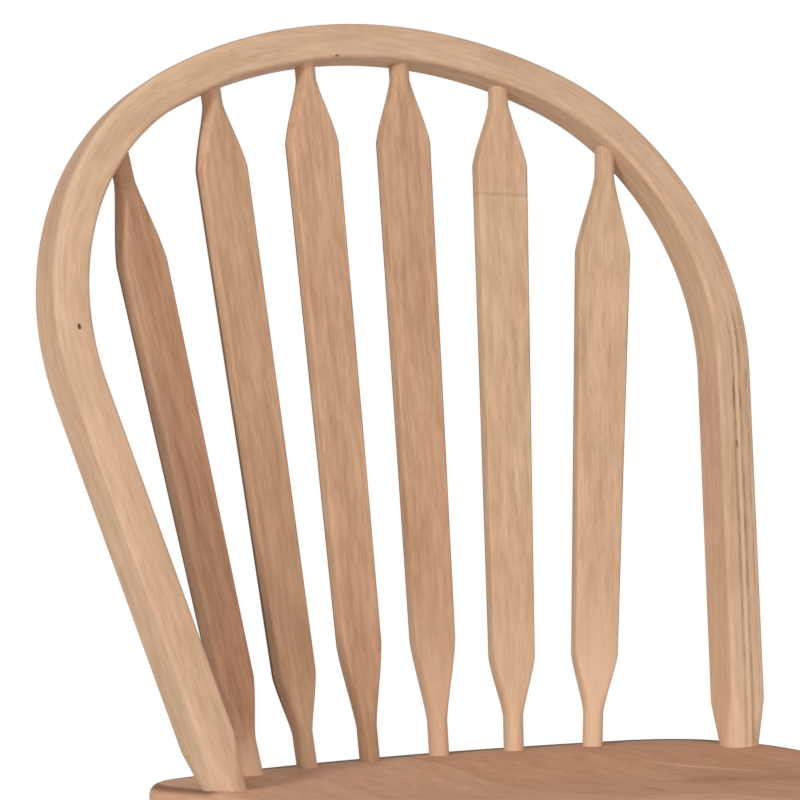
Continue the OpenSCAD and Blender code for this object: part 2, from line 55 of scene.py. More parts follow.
RECLINE = math.radians(16.2)
SPLAY = math.radians(11.3)
LIFT = Vector((0, math.sin(RECLINE), math.cos(RECLINE)))
OUT = Vector((0, -math.cos(RECLINE), math.sin(RECLINE)))
BOW_WIDE, BOW_THICK, BOW_ROUND = 0.025, 0.0255, 0.003
CROWN_WIDE, CROWN_THICK = 0.022, 0.020
BOW_FOOT_X, BOW_LEG = 0.1875, 0.243
SHOULDER_R, CROWN_R = 0.170, 0.334
FOOT_ROUND_R, FOOT_TAPER = 0.012, 0.028
BRAD_BORE_R, BRAD_BORE_DEEP, BEHIND_BOW = 0.0008, 0.001, 0.006

NECK, LOWER_NECK, SPINDLE_TENON = 0.0125, 0.0215, 0.010
LOWER_WIDTH, UPPER_WIDTH, PADDLE_THICK, PADDLE_TURN_SHARE = 0.0295, 0.0355, 0.0095, 0.6
# The spindles' sockets lie on an arc in the deck, this many degrees apart
SOCKET_PITCH = 8.9
# For the outer, the middle and the inner spindle of each half
SPINDLE_TOPS, UPPER_NECKS = (0.181, 0.107, 0.035), (0.015, 0.009, 0.009)
LOWER_SHOULDERS, UPPER_SHOULDERS = (0.036, 0.036, 0.050), (0.049, 0.039, 0.039)

# The legs' tops lie at the seat's underside: distance from the centre line, place, splay and rake
LEG_RISE = 0.414
LEG_TOPS = {"front": (0.150, FRONT_Y + 0.070, math.radians(7), -math.radians(4.5)),
            "rear": (0.135, REAR_Y - 0.082, math.radians(6), math.radians(11))}
LEG_TOP_D, LEG_SWELL_D, LEG_FOOT_D, LEG_SWELL_AT = 0.025, 0.036, 0.026, 0.36
LEG_TENON, LEG_STRAIGHT, GLIDE_HEIGHT, LEG_SHORT = 0.010, 0.014, 0.004, 0.001
STRETCHER_HEIGHT, STRETCHER_STRAIGHT = 0.168, 0.026
SIDE_END_D, SIDE_SWELL_D = 0.015, 0.025
CROSS_END_D, CROSS_SWELL_D = 0.013, 0.024


def ease(t):
    t = min(1.0, max(0.0, t))
    return t * t * (3 - 2 * t)


def spread(a, b, n):
    return [a + (b - a) * i / n for i in range(n + 1)]


# Node trees

class Wire:
    """A value on its way through a node tree; sums on it add Math nodes."""

    def __init__(self, graph, socket):
        self.graph, self.socket = graph, socket

    def __add__(self, other):
        return self.graph.math("ADD", self, other)

    __radd__ = __add__

    def __sub__(self, other):
        return self.graph.math("SUBTRACT", self, other)

    def __rsub__(self, other):
        return self.graph.math("SUBTRACT", other, self)

    def __mul__(self, other):
        return self.graph.math("MULTIPLY", self, other)

    def __truediv__(self, other):
        return self.graph.math("DIVIDE", self, other)

    def __pow__(self, other):
        return self.graph.math("POWER", self, other)


class Graph:
    """Adds nodes to one shader or geometry tree."""

    def __init__(self, tree):
        self.tree = tree

    def add(self, kind, settings=None, values=None, out=0):
        node = self.tree.nodes.new(kind)
        for name, value in (settings or {}).items():
            setattr(node, name, value)
        for name, value in (values or {}).items():
            self.feed(node.inputs[name], value)
        return Wire(self, node.outputs[out])

    def feed(self, socket, value):
        if isinstance(value, Wire):
            self.tree.links.new(value.socket, socket)
        else:
            socket.default_value = value

    def end(self, kind, socket_name, value):
        """Closes the tree with its output node."""
        self.feed(self.tree.nodes.new(kind).inputs[socket_name], value)

    def math(self, operation, *values):
        return self.add("ShaderNodeMath", {"operation": operation}, dict(enumerate(values)))

    def smooth(self, value, low, high, start=0.0, end=1.0):
        return self.add("ShaderNodeMapRange", {"interpolation_type": "SMOOTHSTEP"},
                        {0: value, 1: low, 2: high, 3: start, 4: end})

    def linear(self, value, low, high, start=0.0, end=1.0):
        return self.add("ShaderNodeMapRange", {}, {0: value, 1: low, 2: high, 3: start, 4: end})

    def vector(self, operation, *values):
        return self.add("ShaderNodeVectorMath", {"operation": operation}, dict(enumerate(values)))

    def join(self, x, y, z):
        return self.add("ShaderNodeCombineXYZ", {}, {0: x, 1: y, 2: z})

    def split(self, value):
        first = self.add("ShaderNodeSeparateXYZ", {}, {0: value})
        return [Wire(self, first.socket.node.outputs[i]) for i in range(3)]

    def mix(self, share, a, b, blend="MIX"):
        return self.add("ShaderNodeMix", {"data_type": "RGBA", "blend_type": blend},
                        {0: share, 6: a, 7: b}, out=2)


# Pieces in general

def link(name, mesh):
    piece = bpy.data.objects.new(name, mesh)
    bpy.context.scene.collection.objects.link(piece)
    return piece


def mesh_from(name, points, faces):
    mesh = bpy.data.meshes.new(name)
    mesh.from_pydata([tuple(p) for p in points], [], faces)
    mesh.update()
    return mesh


def skin(count, rings, first=0, inside_out=False):
    """Quads between neighbouring rings of count points each."""
    faces = []
    for j in range(rings - 1):
        a, b = first + j * count, first + (j + 1) * count
        for i in range(count):
            k = (i + 1) % count
            rest = (b + i, b + k, a + k) if inside_out else (a + k, b + k, b + i)
            faces.append((a + i, *rest))
    return faces


def settle(piece, material, slot, *nodes):
    """Gives a finished piece its wood and its body, and hides the parts of the frame that it stands for."""
    piece.data.materials.clear()
    piece.data.materials.append(material)
    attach(piece, "root")
    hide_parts(*nodes)


def write_grain(mesh, grain):
    """Stores where each point lay in its board: across, through and along the fibres."""
    attribute = mesh.attributes.new("grain", "FLOAT_VECTOR", "POINT")
    flat = []
    for vertex in mesh.vertices:
        flat.extend(grain(vertex.co))
    attribute.data.foreach_set("vector", flat)


def smooth_but_sharp(mesh, degrees=32):
    mesh.shade_smooth()
    mesh.set_sharp_from_angle(angle=math.radians(degrees))


# The bow

def along_bow(heading):
    return Vector((math.sin(heading), math.cos(heading)))


def outwards(heading):
    return Vector((-math.cos(heading), math.sin(heading)))


LEG_END = Vector((BOW_FOOT_X, 0)) + along_bow(SPLAY) * BOW_LEG
SHOULDER_C = LEG_END + outwards(SPLAY) * SHOULDER_R
CROWN_HALF = math.asin(SHOULDER_C.x / (CROWN_R - SHOULDER_R))
CROWN_C = Vector((0, SHOULDER_C.y - (CROWN_R - SHOULDER_R) * math.cos(CROWN_HALF)))
CROWN_START = math.pi / 2 - CROWN_HALF
SHOULDER_LEN = (CROWN_START + SPLAY) * SHOULDER_R
CROWN_LEN = 2 * CROWN_HALF * CROWN_R
BOW_LEN = 2 * (BOW_LEG + SHOULDER_LEN) + CROWN_LEN


def bow_stations():
    """(place in the bow's plane, heading, how far along the leg from the deck) from foot to foot."""
    in_socket = -0.012
    rises = [in_socket] + spread(0, FOOT_TAPER, 12) + spread(FOOT_TAPER, BOW_LEG, 24)[1:-1]
    stations = []
    for rise in rises:
        stations.append((Vector((-BOW_FOOT_X, 0)) + along_bow(-SPLAY) * rise, -SPLAY, rise))
    left_c = Vector((-SHOULDER_C.x, SHOULDER_C.y))
    for heading in spread(-SPLAY, CROWN_START, 44)[:-1]:
        stations.append((left_c + outwards(heading) * SHOULDER_R, heading, BOW_LEG))
    for heading in spread(CROWN_START, math.pi - CROWN_START, 48)[:-1]:
        stations.append((CROWN_C + outwards(heading) * CROWN_R, heading, BOW_LEG))
    for heading in spread(math.pi - CROWN_START, math.pi + SPLAY, 44):
        stations.append((SHOULDER_C + outwards(heading) * SHOULDER_R, heading, BOW_LEG))
    for rise in reversed(rises):
        stations.append((Vector((BOW_FOOT_X, 0)) - along_bow(math.pi + SPLAY) * rise, math.pi + SPLAY, rise))
    return stations


def stock_size(heading):
    """The stock's width and thickness, which shrink from the straight legs to the middle of the crown."""
    share = ease((min(heading, math.pi - heading) + SPLAY) / (math.pi / 2 + SPLAY))
    return BOW_WIDE + (CROWN_WIDE - BOW_WIDE) * share, BOW_THICK + (CROWN_THICK - BOW_THICK) * share


def stock_section(heading, rise):
    """The bow's section: round at the deck, a square with rounded arrises above the taper."""
    square = min(1.0, max(0.0, rise / FOOT_TAPER))
    wide, thick = stock_size(heading)
    r = FOOT_ROUND_R + (BOW_ROUND - FOOT_ROUND_R) * square
    w = FOOT_ROUND_R + (wide / 2 - FOOT_ROUND_R) * square - r
    t = FOOT_ROUND_R + (thick / 2 - FOOT_ROUND_R) * square - r
    ring = []
    for cw, ct, turn in ((w, t, 0), (-w, t, 90), (-w, -t, 180), (w, -t, 270)):
        for k in range(9):
            a = math.radians(turn + 90 * k / 8)
            ring.append((cw + r * math.cos(a), ct + r * math.sin(a)))
    return ring


def on_bow(flat, forward=0.0):
    return DECK + Vector((flat.x, 0, 0)) + LIFT * flat.y + OUT * forward


def bow_grain(point):
    """Outward, forward and along the bent stock, for any point of the bow."""
    d = point - DECK
    q = Vector((d.x, d.dot(LIFT)))
    forward = d.dot(OUT)
    side = -1 if q.x < 0 else 1
    away = Vector((side * math.sin(SPLAY), math.cos(SPLAY)))
    out_of_leg = Vector((side * math.cos(SPLAY), -math.sin(SPLAY)))
    rel = q - Vector((side * BOW_FOOT_X, 0))
    run = rel.dot(away)
    if run <= BOW_LEG:
        return rel.dot(out_of_leg), forward, run if side < 0 else BOW_LEN - run
    rel = q - CROWN_C
    heading = math.atan2(rel.y, -rel.x)
    if CROWN_START <= heading <= math.pi - CROWN_START:
        return rel.length - CROWN_R, forward, BOW_LEG + SHOULDER_LEN + (heading - CROWN_START) * CROWN_R
    rel = q - Vector((side * SHOULDER_C.x, SHOULDER_C.y))
    heading = math.atan2(rel.y, side * rel.x)
    run = BOW_LEG + (heading + SPLAY) * SHOULDER_R
    return rel.length - SHOULDER_R, forward, run if side < 0 else BOW_LEN - run


def brad_places():
    """Where the brads enter the back of the bow: the middle of each one's head in the frame."""
    brad_spacing, same_depth = 0.02, 0.0001
    heads = {}
    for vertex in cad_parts["spindle_brads"].data.vertices:
        heads.setdefault(round(vertex.co.x / brad_spacing), []).append(vertex.co)
    places = []
    for group in heads.values():
        rear = min((co - DECK).dot(OUT) for co in group)
        ring = [co for co in group if (co - DECK).dot(OUT) < rear + same_depth]
        low = [min(co[i] for co in ring) for i in range(3)]
        high = [max(co[i] for co in ring) for i in range(3)]
        places.append((Vector(low) + Vector(high)) / 2)
    return places


def bore(mesh, places, radius, direction, before, beyond):
    """Cuts round bores into a closed mesh, from before each place to beyond it."""
    sides = 20
    points, faces = [], []
    side_way = direction.orthogonal().normalized()
    other_way = direction.cross(side_way)
    for place in places:
        base = len(points)
        for end in (-before, beyond):
            for k in range(sides):
                a = 2 * math.pi * k / sides
                around = side_way * math.cos(a) + other_way * math.sin(a)
                points.append(place + direction * end + around * radius)
        faces += skin(sides, 2, first=base)
        faces.append(tuple(base + k for k in reversed(range(sides))))
        faces.append(tuple(base + sides + k for k in range(sides)))
    cutter = link("bore_cutter", mesh_from("bore_cutter", points, faces))
    body = link("bore_body", mesh)
    cut = body.modifiers.new("bores", "BOOLEAN")
    cut.operation, cut.solver, cut.object = "DIFFERENCE", "EXACT", cutter
    done = bpy.data.meshes.new_from_object(body.evaluated_get(bpy.context.evaluated_depsgraph_get()))
    bpy.data.objects.remove(body)
    bpy.data.objects.remove(cutter)
    return done


def make_bow(material):
    points = []
    stations = bow_stations()
    for place, heading, rise in stations:
        section = stock_section(heading, rise)
        for w, t in section:
            points.append(on_bow(place + outwards(heading) * w, t))
    n = len(section)
    faces = skin(n, len(stations), inside_out=True)
    faces.append(tuple(range(n)))
    faces.append(tuple((len(stations) - 1) * n + i for i in reversed(range(n))))
    mesh = mesh_from("bow_stock", points, faces)
    mesh = bore(mesh, brad_places(), BRAD_BORE_R, OUT, BEHIND_BOW, BRAD_BORE_DEEP)
    write_grain(mesh, bow_grain)
    smooth_but_sharp(mesh)
    mesh.name = "bent_bow"
    settle(link("bent_bow", mesh), material, "bow_wood", "bow")


# The seat

def saddle_z(x, y):
    """The height of the seat's top above its deck: 0 on the deck and lower in the saddle."""
    run = SOCKET_ARC_R - DECK_FRONT - math.hypot(x, y - SOCKET_ARC_Y)
    side = (x / HALF_SEAT) ** 2 * SADDLE_SIDE_SHARE
    ridge = RIDGE_SHARE * ease((REAR_Y - RIDGE_START - y) / RIDGE_RUN)
    ridge *= math.exp(-(x / RIDGE_HALF_WIDTH) ** 2)
    return -SADDLE_DEEP * ease(run / SADDLE_RUN) * (1 - side) * (1 - ridge)


def arc(cx, cy, r, start, end, n):
    return [Vector((cx + r * math.cos(a), cy + r * math.sin(a))) for a in spread(start, end, n)[:-1]]


def seat_outline(inset):
    """The seat's edge in plan, drawn in by inset, from the front of its right side round the rear."""
    rear_cy = REAR_Y - REAR_EDGE_R
    front_cy = FRONT_Y + FRONT_EDGE_R
    rear_turn = math.asin((HALF_SEAT - REAR_CORNER_R) / (REAR_EDGE_R - REAR_CORNER_R))
    front_turn = math.asin((HALF_SEAT - FRONT_CORNER_R) / (FRONT_EDGE_R - FRONT_CORNER_R))
    rear_y = rear_cy + (REAR_EDGE_R - REAR_CORNER_R) * math.cos(rear_turn)
    front_y = front_cy - (FRONT_EDGE_R - FRONT_CORNER_R) * math.cos(front_turn)
    rx, fx, x = HALF_SEAT - REAR_CORNER_R, HALF_SEAT - FRONT_CORNER_R, HALF_SEAT - inset
    rr, fr = REAR_CORNER_R - inset, FRONT_CORNER_R - inset
    quarter = math.pi / 2
    return ([Vector((x, y)) for y in spread(front_y, rear_y, 24)[:-1]]
            + arc(rx, rear_y, rr, 0, quarter - rear_turn, 16)
            + arc(0, rear_cy, REAR_EDGE_R - inset, quarter - rear_turn, quarter + rear_turn, 40)
            + arc(-rx, rear_y, rr, quarter + rear_turn, 2 * quarter, 16)
            + [Vector((-x, y)) for y in spread(rear_y, front_y, 24)[:-1]]
            + arc(-fx, front_y, fr, 2 * quarter, 3 * quarter - front_turn, 18)
            + arc(0, front_cy, FRONT_EDGE_R - inset, 3 * quarter - front_turn, 3 * quarter + front_turn, 40)
            + arc(fx, front_y, fr, 3 * quarter + front_turn, 4 * quarter, 18))


def seat_mesh():
    rings = []
    for a in spread(0, math.pi / 2, 7):
        rings.append([Vector((p.x, p.y, -SEAT_THICK + BOTTOM_ROUND * (1 - math.cos(a))))
                      for p in seat_outline(BOTTOM_ROUND * (1 - math.sin(a)))])
    for a in spread(0, math.pi / 2, 7):
        rings.append([Vector((p.x, p.y, saddle_z(p.x, p.y) - TOP_ROUND * (1 - math.sin(a))))
                      for p in seat_outline(TOP_ROUND * (1 - math.cos(a)))])
    middle = (REAR_Y + FRONT_Y) / 2
    inner = seat_outline(TOP_ROUND)
    for share in spread(1, 0, 46)[1:-1]:
        ring = []
        for p in inner:
            x, y = p.x * share, middle + (p.y - middle) * share
            ring.append(Vector((x, y, saddle_z(x, y))))
        rings.append(ring)
    n = len(inner)
    points = [DECK + p for ring in rings for p in ring] + [DECK + Vector((0, middle, saddle_z(0, middle)))]
    faces = skin(n, len(rings))
    last = (len(rings) - 1) * n
    faces += [(last + i, last + (i + 1) % n, len(points) - 1) for i in range(n)]
    faces.append(tuple(reversed(range(n))))
    return mesh_from("seat_blank", points, faces)


def write_rim(mesh):
    """Stores how far each point of the seat lies from its outline in plan."""
    outline = seat_outline(0)
    parts = 4
    tree = KDTree(parts * len(outline))
    for i, p in enumerate(outline):
        step = (outline[(i + 1) % len(outline)] - p) / parts
        for k in range(parts):
            tree.insert(Vector((p.x + step.x * k, p.y + step.y * k, 0)), parts * i + k)
    tree.balance()
    rims = []
    for vertex in mesh.vertices:
        d = vertex.co - DECK
        rims.append(tree.find(Vector((d.x, d.y, 0)))[2])
    mesh.attributes.new("rim", "FLOAT", "POINT").data.foreach_set("value", rims)


def make_seat(woods):
    """Boards, cut from one shaped seat along their glue lines."""
    whole = seat_mesh()
    wide = 2 * HALF_SEAT / BOARDS
    for i in range(BOARDS):
        work = bmesh.new()
        work.from_mesh(whole)
        for line, way in ((i, -1), (i + 1, 1)):
            if 0 < line < BOARDS:
                cut = bmesh.ops.bisect_plane(
                    work, geom=work.verts[:] + work.edges[:] + work.faces[:],
                    plane_co=(-HALF_SEAT + line * wide, 0, 0), plane_no=(way, 0, 0), clear_outer=True)
                rim = [g for g in cut["geom_cut"] if isinstance(g, bmesh.types.BMEdge)]
                bmesh.ops.contextual_create(work, geom=rim)
        bmesh.ops.recalc_face_normals(work, faces=work.faces[:])
        mesh = bpy.data.meshes.new(f"board_{i + 1}")
        work.to_mesh(mesh)
        work.free()
        middle_x = -HALF_SEAT + (i + 0.5) * wide
        write_grain(mesh, lambda co: (co.x - middle_x, co.z - DECK.z, co.y - DECK.y))
        write_rim(mesh)
        smooth_but_sharp(mesh)
        settle(link(f"board_{i + 1}", mesh), woods[i], "seat_wood", f"seat_board_{i + 1}")


# Spindles, legs and stretchers

def stick_tree(name, floats, vectors=()):
    """An empty geometry tree with named inputs; returns the tree, its graph and its input wires."""
    tree = bpy.data.node_groups.new(name, "GeometryNodeTree")
    tree.is_modifier = True
    kinds = [(n, "NodeSocketFloat") for n in floats]
    kinds += [(n, "NodeSocketVector") for n in (*vectors, "Place", "Turn", "Grain shift")]
    kinds += [("Wood", "NodeSocketMaterial")]
    for socket_name, kind in kinds:
        tree.interface.new_socket(socket_name, in_out="INPUT", socket_type=kind)
    tree.interface.new_socket("Geometry", in_out="OUTPUT", socket_type="NodeSocketGeometry")
    graph = Graph(tree)
    entry = tree.nodes.new("NodeGroupInput")
    wires = {s.name: Wire(graph, s) for s in entry.outputs if s.name}
    return tree, graph, wires


def store(g, geometry, name, value):
    return g.add("GeometryNodeStoreNamedAttribute", {"data_type": "FLOAT_VECTOR", "domain": "POINT"},
                 {"Geometry": geometry, "Name": name, "Value": value})


def finish_tree(g, wires, shape, local, cut_height=None):
    """Stores the grain, turns the stick into place, cuts it level at a height and gives it its wood."""
    marked = store(g, shape, "grain", g.vector("ADD", local, wires["Grain shift"]))
    turn = g.add("FunctionNodeEulerToRotation", {}, {0: wires["Turn"]})
    placed = g.add("GeometryNodeTransform", {}, {"Geometry": marked, "Translation": wires["Place"],
                                                 "Rotation": turn})
    if cut_height is not None:
        here = g.add("GeometryNodeInputPosition")
        short = g.math("MAXIMUM", cut_height - g.split(here)[2], 0)
        back = g.add("ShaderNodeVectorMath", {"operation": "SCALE"}, {0: wires["Upwards"], "Scale": short})
        placed = g.add("GeometryNodeSetPosition", {}, {"Geometry": placed, "Offset": back})
    real = g.add("GeometryNodeRealizeInstances", {}, {"Geometry": placed})
    shaded = g.add("GeometryNodeSetShadeSmooth", {}, {"Geometry": real})
    dressed = g.add("GeometryNodeSetMaterial", {}, {"Geometry": shaded, "Material": wires["Wood"]})
    g.end("NodeGroupOutput", "Geometry", dressed)


def rod(g, sides, rings):
    return g.add("GeometryNodeMeshCylinder", {"fill_type": "NGON"},
                 {"Vertices": sides, "Side Segments": rings, "Radius": 1.0, "Depth": 1.0})


def spindle_tree():
    """A round stick planed to a flat paddle.

    Its attribute form holds the share across, the share through and the height of each point.
    """
    tree, g, w = stick_tree("arrow_spindle", [
        "Length", "Cover", "Neck", "Lower width", "Upper width", "Thickness", "Lower neck", "Lower shoulder",
        "Upper neck", "Upper shoulder", "Tenon", "Past"])
    blank = rod(g, 96, 220)
    x, y, z = g.split(g.add("GeometryNodeInputPosition"))
    height = (z + 0.5) * (w["Length"] + w["Past"] + w["Tenon"]) - w["Tenon"]
    under = w["Length"] - w["Cover"] - w["Upper neck"]
    low = w["Lower neck"] + w["Lower shoulder"]
    high = under - w["Upper shoulder"]
    rise = g.linear(height, w["Lower neck"], low)
    fall = g.linear(height, under, high)
    body = g.linear(height, low, high, w["Lower width"], w["Upper width"])
    nearest = g.math("MINIMUM", rise, fall)
    flank_ease, planed_within, corner_spread, crispness = 0.35, 0.12, 0.36, 7.0
    flank = nearest + (g.smooth(nearest, 0, 1) - nearest) * flank_ease
    half_wide = (w["Neck"] + (body - w["Neck"]) * flank) / 2
    slab = (w["Neck"] + (w["Thickness"] - w["Neck"]) * nearest) / 2
    planed = g.smooth(nearest, 0, planed_within)
    angle = g.math("ARCTAN2", y, x)
    angle = angle - g.math("SINE", angle * 2) * corner_spread
    through = half_wide * g.math("SINE", angle)
    through = through / (1 + planed * g.math("ABSOLUTE", through / slab) ** crispness) ** (1 / crispness)
    local = g.join(half_wide * g.math("COSINE", angle), through, height)
    formed = store(g, blank, "form", g.join(g.math("COSINE", angle) * planed, through / slab, height))
    shape = g.add("GeometryNodeSetPosition", {}, {"Geometry": formed, "Position": local})
    finish_tree(g, w, shape, g.add("GeometryNodeInputPosition"))
    return tree


def turned_tree():
    """A round stick that swells from both ends, fuller or slimmer."""
    tree, g, w = stick_tree("turned_stick", [
        "Length", "Start width", "Swell width", "End width", "Swell place", "Straight start", "Straight end",
        "Fullness", "Tenon", "Past", "Cut height"], ["Upwards"])
    blank = rod(g, 64, 160)
    x, y, z = g.split(g.add("GeometryNodeInputPosition"))
    height = (z + 0.5) * (w["Length"] + w["Past"] + w["Tenon"]) - w["Tenon"]
    swell_at = w["Length"] * w["Swell place"]
    rise = g.linear(height, w["Straight start"], swell_at)
    fall = g.linear(height, swell_at, w["Length"] - w["Straight end"])
    quarter, roundness = math.pi / 2, 0.8
    full_rise = g.math("SINE", rise * quarter) ** roundness
    full_fall = g.math("COSINE", fall * quarter) ** roundness
    slim_rise = g.smooth(rise, 0, 1)
    slim_fall = g.math("COSINE", fall * quarter)
    up = slim_rise + (full_rise - slim_rise) * w["Fullness"]
    down = slim_fall + (full_fall - slim_fall) * w["Fullness"]
    first = w["Start width"] + (w["Swell width"] - w["Start width"]) * up
    second = w["End width"] + (w["Swell width"] - w["End width"]) * down
    past_swell = g.math("GREATER_THAN", height, swell_at)
    radius = (first + (second - first) * past_swell) / 2
    local = g.join(x * radius, y * radius, height)
    shape = g.add("GeometryNodeSetPosition", {}, {"Geometry": blank, "Position": local})
    finish_tree(g, w, shape, g.add("GeometryNodeInputPosition"), w["Cut height"])
    return tree


def grow(name, tree, values):
    """Runs a tree with its inputs set and returns the plain mesh in an object of that name."""
    carrier = link(name + "_carrier", bpy.data.meshes.new(name + "_carrier"))
    modifier = carrier.modifiers.new("stick", "NODES")
    modifier.node_group = tree
    for item in tree.interface.items_tree:
        if item.item_type == "SOCKET" and item.in_out == "INPUT" and item.name in values:
            modifier[item.identifier] = values[item.name]
    carrier.update_tag()
    mesh = bpy.data.meshes.new_from_object(carrier.evaluated_get(bpy.context.evaluated_depsgraph_get()))
    bpy.data.objects.remove(carrier)
    mesh.name = name
    return link(name, mesh)


def lay_along(start, end):
    """Turns +Z onto the line from start to end and keeps the local X level."""
    d = (Vector(end) - Vector(start)).normalized()
    return Euler((-math.asin(d.y), math.atan2(d.x, d.z), 0), "XYZ")


def bow_height(x):
    """The bend's centre and the height of the bow's middle line, in its plane, at x from the centre line."""
    if x <= CROWN_R * math.sin(CROWN_HALF):
        return CROWN_C, CROWN_C.y + math.sqrt(CROWN_R ** 2 - x * x)
    return SHOULDER_C, SHOULDER_C.y + math.sqrt(SHOULDER_R ** 2 - (x - SHOULDER_C.x) ** 2)


def make_spindles(woods):
    tree = spindle_tree()
    for i in range(1, 7):
        side = -1 if i <= 3 else 1
        step = i - 1 if i <= 3 else 6 - i
        turn = math.radians(SOCKET_PITCH * (2.5 - step))
        foot_x, foot_y = side * SOCKET_ARC_R * math.sin(turn), SOCKET_ARC_Y + SOCKET_ARC_R * math.cos(turn)
        foot = DECK + Vector((foot_x, foot_y, 0))
        centre, v = bow_height(SPINDLE_TOPS[step])
        top = on_bow(Vector((side * SPINDLE_TOPS[step], v)))
        normal = (Vector((SPINDLE_TOPS[step], v)) - centre).normalized()
        axis = (top - foot).normalized()
        wide = stock_size(math.atan2(normal.y, normal.x))[0]
        cover = wide / 2 / axis.dot(Vector((side * normal.x, 0, 0)) + LIFT * normal.y)
        facing = lay_along(foot, top).to_matrix() @ Matrix.Rotation(-side * PADDLE_TURN_SHARE * turn, 3, "Z")
        piece = grow(f"arrow_spindle_{i}", tree, {
            "Length": (top - foot).length, "Cover": cover, "Neck": NECK, "Thickness": PADDLE_THICK,
            "Lower width": LOWER_WIDTH, "Upper width": UPPER_WIDTH, "Lower neck": LOWER_NECK,
            "Upper neck": UPPER_NECKS[step], "Lower shoulder": LOWER_SHOULDERS[step],
            "Upper shoulder": UPPER_SHOULDERS[step], "Tenon": SPINDLE_TENON, "Past": 0.0,
            "Place": foot, "Turn": facing.to_euler(), "Wood": woods[i - 1],
            "Grain shift": Vector((0.011 * (i % 3) - 0.013, 0.009 * (i % 2), 0.83 * i))})
        slot = "dark_spindle_wood" if i <= 3 else "tan_spindle_wood" if i == 4 else "pale_spindle_wood"
        settle(piece, woods[i - 1], slot, f"spindle_{i}")


def leg_point(end, side, height):
    x, y, splay, rake = LEG_TOPS[end]
    drop = LEG_RISE - height
    return DECK + Vector((side * (x + math.tan(splay) * drop), y + math.tan(rake) * drop, -SEAT_THICK - drop))


def make_stretcher(tree, wood, word, start, finish, end_wide, swell_wide, shift):
    piece = grow(f"turned_{word}_stretcher", tree, {
        "Length": (finish - start).length, "Start width": end_wide, "Swell width": swell_wide,
        "End width": end_wide, "Swell place": 0.5, "Straight start": STRETCHER_STRAIGHT,
        "Straight end": STRETCHER_STRAIGHT, "Fullness": 1.0, "Tenon": 0.0, "Past": 0.0, "Cut height": 0.0,
        "Upwards": Vector((0, 0, 1)), "Place": start, "Turn": lay_along(start, finish), "Wood": wood,
        "Grain shift": Vector(shift)})
    settle(piece, wood, "leg_wood", f"{word}_stretcher")


def make_legs(wood):
    tree = turned_tree()
    halves = (-1, "left"), (1, "right")
    shift = 0
    for end in ("front", "rear"):
        for side, word in halves:
            top, foot = leg_point(end, side, LEG_RISE), leg_point(end, side, 0)
            shift += 1
            piece = grow(f"turned_{end}_{word}_leg", tree, {
                "Length": (foot - top).length, "Start width": LEG_TOP_D, "Swell width": LEG_SWELL_D,
                "End width": LEG_FOOT_D, "Swell place": LEG_SWELL_AT, "Straight start": LEG_STRAIGHT,
                "Straight end": 0.0, "Fullness": 0.0, "Tenon": LEG_TENON, "Past": -LEG_SHORT,
                "Cut height": GLIDE_HEIGHT, "Upwards": (top - foot) / LEG_RISE, "Place": top,
                "Turn": lay_along(top, foot), "Wood": wood,
                "Grain shift": Vector((0.012 * shift - 0.03, 0.007 * shift, 1.3 * shift))})
            settle(piece, wood, "leg_wood", f"{end}_{word}_leg")
    middles = []
    for side, word in halves:
        start, finish = [leg_point(end, side, STRETCHER_HEIGHT) for end in ("front", "rear")]
        middles.append((start + finish) / 2)
        shift += 1
        make_stretcher(tree, wood, word, start, finish, SIDE_END_D, SIDE_SWELL_D,
                       (0.008 * shift - 0.03, 0.005 * shift, 1.7 * shift))
    make_stretcher(tree, wood, "cross", *middles, CROSS_END_D, CROSS_SWELL_D, (0.021, 0.013, 14.1))


# Woods, nylon and steel

def colour(r, g, b):
    """A colour as it looks on a screen, from 0 to 255, turned into light."""
    def light(c):
        c /= 255
        return c / 12.92 if c <= 0.04045 else ((c + 0.055) / 1.055) ** 2.4
    return (light(r), light(g), light(b), 1.0)


# Painted light for the spindles' feet and the first spindle's left side, and painted shade low on the second
# and third spindles
PAINTED_LIGHT_TAN, PAINTED_SHADE_BROWN = colour(236, 200, 168), colour(140, 96, 68)


def new_material(name):
    material = bpy.data.materials.new(name)
    material.use_nodes = True
    material.node_tree.nodes.clear()
    return material, Graph(material.node_tree)


def finish_material(g, base, roughness, height, bump, distance, specular=0.35, metallic=0.0):
    normal = g.add("ShaderNodeBump", {}, {"Strength": bump, "Distance": distance, "Height": height})
    shader = g.add("ShaderNodeBsdfPrincipled", {}, {
        "Base Color": base, "Roughness": roughness, "Metallic": metallic, "Specular IOR Level": specular,
        "Normal": normal})
    g.end("ShaderNodeOutputMaterial", "Surface", shader)


def stretched_noise(g, place, across, along, seed, detail=2.0, rough=0.5):
    """Noise whose grains are long along the fibres; both sizes are features a metre."""
    scaled = g.vector("MULTIPLY", place, (across, across, along))
    shifted = g.vector("ADD", scaled, (seed, seed * 1.7, seed * 0.6))
    return g.add("ShaderNodeTexNoise", {"noise_dimensions": "3D"},
                 {"Vector": shifted, "Scale": 1.0, "Detail": detail, "Roughness": rough})


